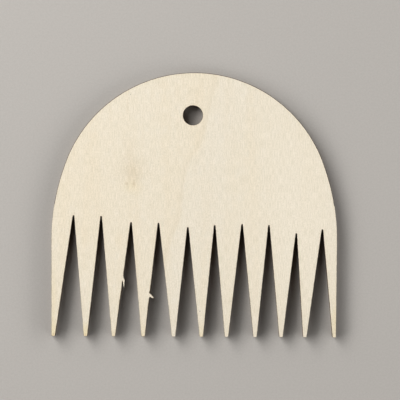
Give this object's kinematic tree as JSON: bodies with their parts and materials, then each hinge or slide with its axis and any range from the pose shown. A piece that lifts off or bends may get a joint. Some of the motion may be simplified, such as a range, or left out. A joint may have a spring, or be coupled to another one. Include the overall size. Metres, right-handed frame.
{
  "type": "tapestry weaving comb",
  "caption": "Flat laser-cut plywood weaving comb: arched hand grip with a hanging hole, and long tapered teeth that pack the weft down.",
  "frame": {"origin": "on the back face, midway across the comb and midway between the tooth tips and the top of the crown", "axes": "+X across the teeth, +Y from the teeth towards the crown, +Z through the thickness towards the front face"},
  "size_m": [0.1022, 0.0944, 0.003],
  "materials": {
    "face_veneer": "bare sanded basswood, grain along the teeth, cut edges charred brown by the laser",
    "core_veneer": "bare basswood, grain across the teeth, seen only as a charred brown cut edge",
    "glue_line": "cured wood glue, seen only as a thin dark line in the cut edge"
  },
  "bodies": {
    "root": {"back_face_veneer": "face_veneer", "back_glue_line": "glue_line", "core_veneer": "core_veneer", "front_glue_line": "glue_line", "front_face_veneer": "face_veneer"}
  },
  "joints": []
}
